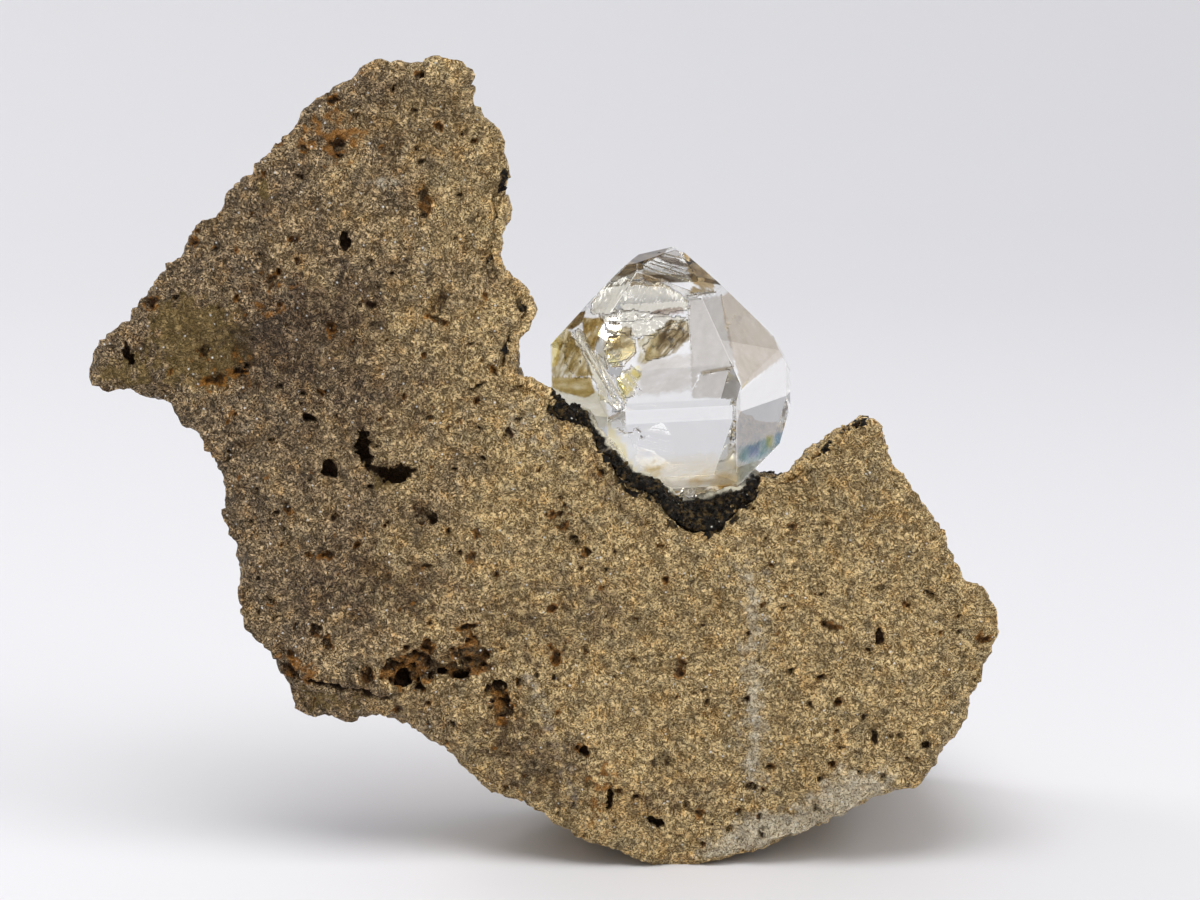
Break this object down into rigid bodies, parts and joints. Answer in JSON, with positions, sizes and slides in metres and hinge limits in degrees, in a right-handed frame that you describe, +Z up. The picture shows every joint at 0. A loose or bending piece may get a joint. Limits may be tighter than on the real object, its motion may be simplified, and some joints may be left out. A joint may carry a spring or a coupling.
{
  "type": "herkimer diamond on dolostone matrix",
  "caption": "Clear, stubby, double-ended quartz crystal sitting in the notch of a loose slab of sugary brown dolostone, with black drusy lining under it.",
  "frame": {"origin": "middle of the overall box, on the surface that the specimen rests on", "axes": "+Z up, +X along the slab's long way towards the horn right of the crystal; the broad broken face and the crystal's front look towards -Y"},
  "size_m": [0.0704, 0.0288, 0.0639],
  "materials": {
    "dolostone": "rough sugary broken dolostone, brown-grey with rusty and pale patches",
    "black_druse": "black glinting crust of tiny crystals and bitumen",
    "clear_quartz": "clear glossy natural crystal faces with a few inner veils and iron stains"
  },
  "bodies": {
    "root": {"dolostone_matrix": "dolostone", "vug_crust": "black_druse", "quartz_crystal": "clear_quartz"}
  },
  "joints": []
}
